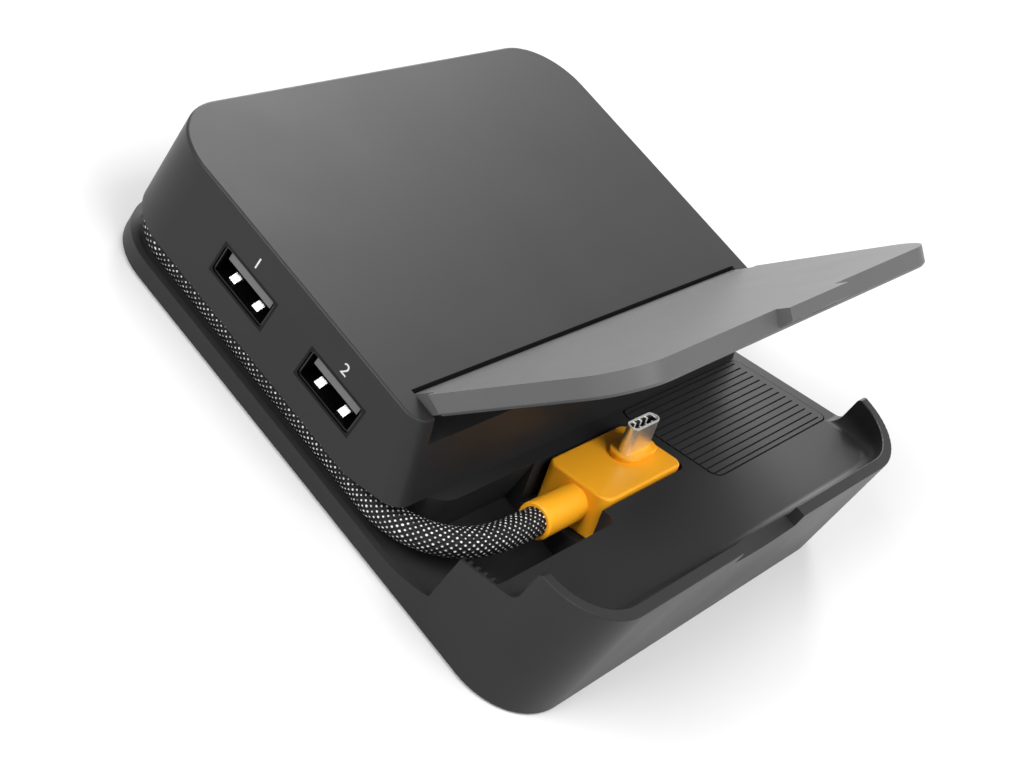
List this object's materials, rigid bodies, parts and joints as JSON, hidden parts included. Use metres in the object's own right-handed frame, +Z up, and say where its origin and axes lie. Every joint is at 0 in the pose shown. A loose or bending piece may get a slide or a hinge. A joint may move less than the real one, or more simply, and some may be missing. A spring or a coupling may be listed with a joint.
{
  "type": "handheld console dock",
  "caption": "Low square dock with a sloping tray, a raised lip, a hinged backrest flap, side sockets and a corded corner plug in a pocket.",
  "frame": {"origin": "on the surface that the feet stand on, under the centre of the plan outline", "axes": "+Z up, +Y to the rear, +X to the right as seen from the lip; the lip is at -Y"},
  "size_m": [0.109, 0.1124, 0.0643],
  "materials": {
    "casing": "fine-textured moulded ABS",
    "flap": "fine-textured moulded ABS",
    "under": "moulded ABS",
    "rubber": "soft",
    "orange": "satin moulded",
    "steel": "nickel plated",
    "screw_steel": "zinc plated",
    "insulator": "moulded",
    "contact": "gold plated",
    "braid": "braided",
    "board": "solder mask",
    "chip": "moulded epoxy",
    "bush": "acetal"
  },
  "bodies": {
    "dock": {"base_tray": "casing", "board_screws": "screw_steel", "bottom_plate": "under", "bottom_screws": "screw_steel", "cable": "braid", "cable_gland": "rubber", "circuit_board": "board", "foot_pads": "rubber", "grip_pad": "rubber", "hinge_bush_left": "bush", "hinge_bush_right": "bush", "housing_floor": "under", "housing_screws": "screw_steel", "housing_shell": "casing", "hub_chip": "chip", "plug_body": "orange", "plug_insulator": "insulator", "plug_shell": "steel", "power_socket": "steel", "power_tongue": "insulator", "side_contacts_front": "contact", "side_contacts_rear": "contact", "side_socket_front": "steel", "side_socket_rear": "steel", "side_tongue_front": "insulator", "side_tongue_rear": "insulator", "video_chip": "chip", "video_socket": "steel", "video_tongue": "insulator"},
    "flap": {"backrest_flap": "flap", "hinge_pin_left": "screw_steel", "hinge_pin_right": "screw_steel"}
  },
  "joints": [
    {"name": "flap_hinge", "type": "hinge", "parent": "dock", "child": "flap", "pos_m": [0, -0.00845, 0.0256], "axis": [-1, 0, 0], "range_deg": [-54.9, 40.1]}
  ]
}
